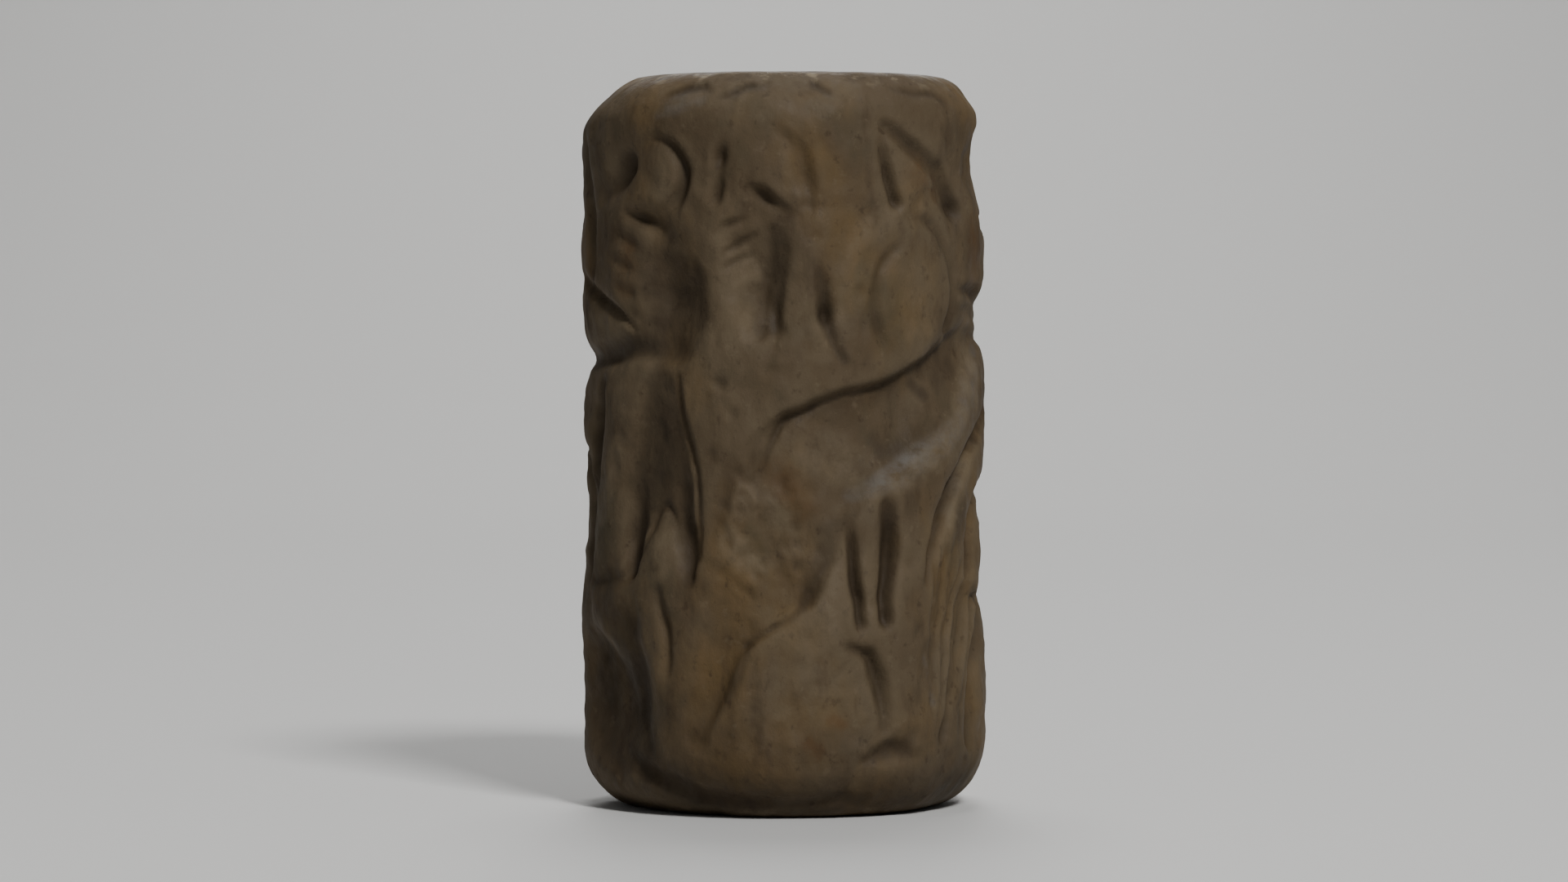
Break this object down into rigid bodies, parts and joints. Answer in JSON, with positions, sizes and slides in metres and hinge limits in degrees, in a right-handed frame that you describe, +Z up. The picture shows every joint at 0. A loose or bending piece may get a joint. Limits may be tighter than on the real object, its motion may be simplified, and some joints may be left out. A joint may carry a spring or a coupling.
{
  "type": "cylinder seal",
  "caption": "Small stone cylinder with a frieze cut into its wall, rolled over clay to leave a raised picture; a string hole runs along its axis.",
  "frame": {"origin": "middle of the flat base that the seal stands on, on the seal's axis", "axes": "+Z up along the seal's axis; -Y towards the side of the frieze that the picture shows; +X to the right of it"},
  "size_m": [0.0124, 0.0124, 0.0222],
  "materials": {
    "stone": "worn, softly polished dark brown stone, darker in the cuts"
  },
  "bodies": {
    "root": {"cylinder_seal": "stone"}
  },
  "joints": []
}
